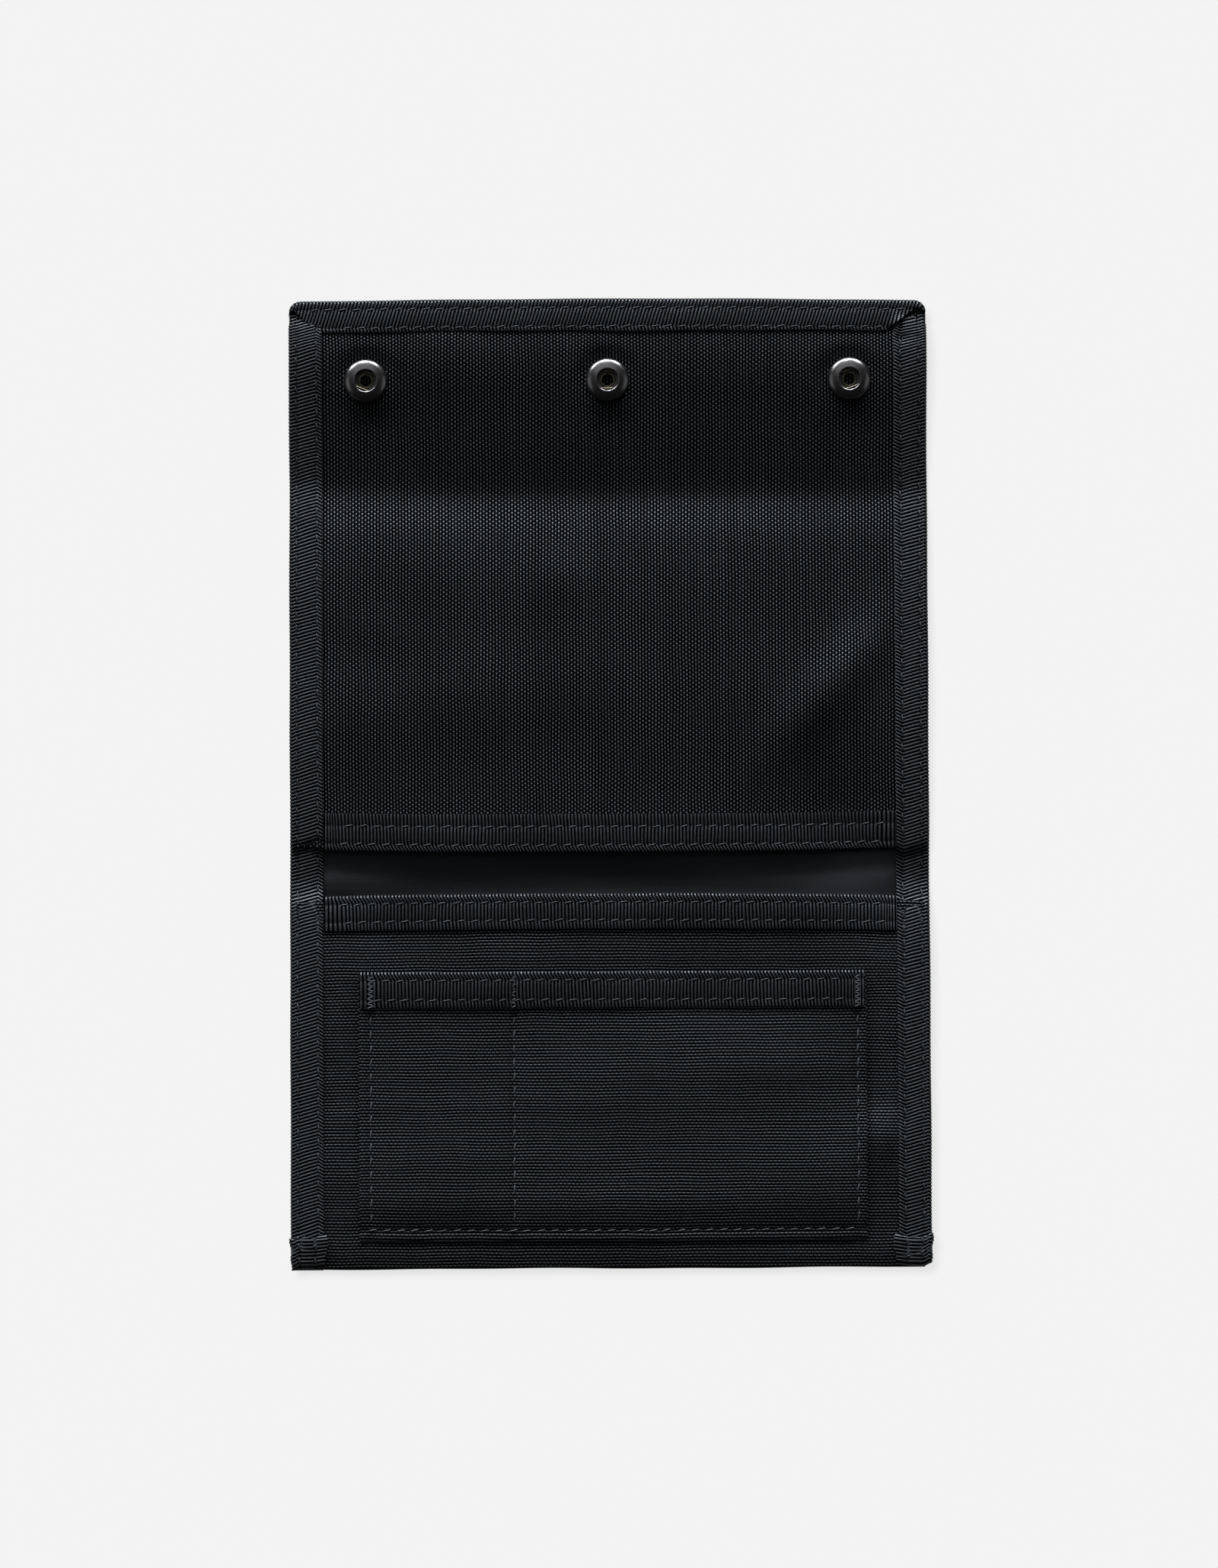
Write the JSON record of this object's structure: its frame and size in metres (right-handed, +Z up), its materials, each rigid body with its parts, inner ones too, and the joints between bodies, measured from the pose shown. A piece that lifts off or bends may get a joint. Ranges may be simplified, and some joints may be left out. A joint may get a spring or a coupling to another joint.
{
  "type": "passport holder wallet",
  "caption": "Trifold fabric travel wallet with tape-bound edges, a passport pocket in each main panel, a card pocket and a flap closed by ring snaps.",
  "frame": {"origin": "under the middle of the open wallet, at the height of the snap stud tips that it rests on", "axes": "+X across the wallet to the right as seen with the inside up and the flap at the far end, +Y towards the snap flap, +Z up out of the inside"},
  "size_m": [0.16, 0.243, 0.0072],
  "materials": {
    "shell_nylon": "black heavy plain-weave nylon, satin sheen on the yarns",
    "coated_lining": "black fine coated lining cloth, smooth satin",
    "grosgrain_tape": "black ribbed grosgrain binding tape, two rows of stitching",
    "gunmetal": "dark gunmetal plating, semi-gloss",
    "plated_steel": "bright nickel-brass plating"
  },
  "bodies": {
    "middle_panel": {"middle_outer_shell": "shell_nylon", "middle_lining": "coated_lining", "upper_pocket_front": "shell_nylon", "upper_pocket_tape": "grosgrain_tape", "left_binding_middle": "grosgrain_tape", "right_binding_middle": "grosgrain_tape"},
    "main_spine": {"main_spine_shell": "shell_nylon", "main_spine_lining": "coated_lining", "left_binding_main_spine": "grosgrain_tape", "right_binding_main_spine": "grosgrain_tape"},
    "lower_panel": {"lower_outer_shell": "shell_nylon", "lower_lining": "coated_lining", "lower_pocket_front": "shell_nylon", "lower_pocket_tape": "grosgrain_tape", "card_pocket_front": "shell_nylon", "card_pocket_tape": "grosgrain_tape", "left_binding_lower": "grosgrain_tape", "right_binding_lower": "grosgrain_tape", "snap_stud_left": "gunmetal", "snap_stud_middle": "gunmetal", "snap_stud_right": "gunmetal", "stud_post_left": "plated_steel", "stud_post_middle": "plated_steel", "stud_post_right": "plated_steel"},
    "flap_spine": {"flap_spine_shell": "shell_nylon", "flap_spine_lining": "coated_lining", "flap_spine_inner_panel": "shell_nylon", "left_binding_flap_spine": "grosgrain_tape", "right_binding_flap_spine": "grosgrain_tape"},
    "flap": {"flap_outer_shell": "shell_nylon", "flap_lining": "coated_lining", "flap_inner_panel": "shell_nylon", "left_binding_flap": "grosgrain_tape", "right_binding_flap": "grosgrain_tape", "flap_end_binding": "grosgrain_tape", "snap_socket_left": "gunmetal", "snap_socket_middle": "gunmetal", "snap_socket_right": "gunmetal", "snap_spring_left": "plated_steel", "snap_spring_middle": "plated_steel", "snap_spring_right": "plated_steel", "snap_cap_left": "gunmetal", "snap_cap_middle": "gunmetal", "snap_cap_right": "gunmetal"}
  },
  "joints": [
    {"name": "main_spine_fold", "type": "hinge", "parent": "middle_panel", "child": "main_spine", "pos_m": [0, -0.0201, 0.0034], "axis": [-1, 0, 0], "range_deg": [0, 90]},
    {"name": "lower_panel_fold", "type": "hinge", "parent": "main_spine", "child": "lower_panel", "pos_m": [0, -0.0278, 0.0034], "axis": [-1, 0, 0], "range_deg": [0, 90]},
    {"name": "flap_spine_fold", "type": "hinge", "parent": "middle_panel", "child": "flap_spine", "pos_m": [0, 0.076, 0.0034], "axis": [1, 0, 0], "range_deg": [0, 90]},
    {"name": "flap_fold", "type": "hinge", "parent": "flap_spine", "child": "flap", "pos_m": [0, 0.089, 0.0034], "axis": [1, 0, 0], "range_deg": [0, 90]}
  ],
  "couplings": [
    {"joint": "lower_panel_fold", "follows": "main_spine_fold", "ratio": 1},
    {"joint": "flap_fold", "follows": "flap_spine_fold", "ratio": 1}
  ]
}
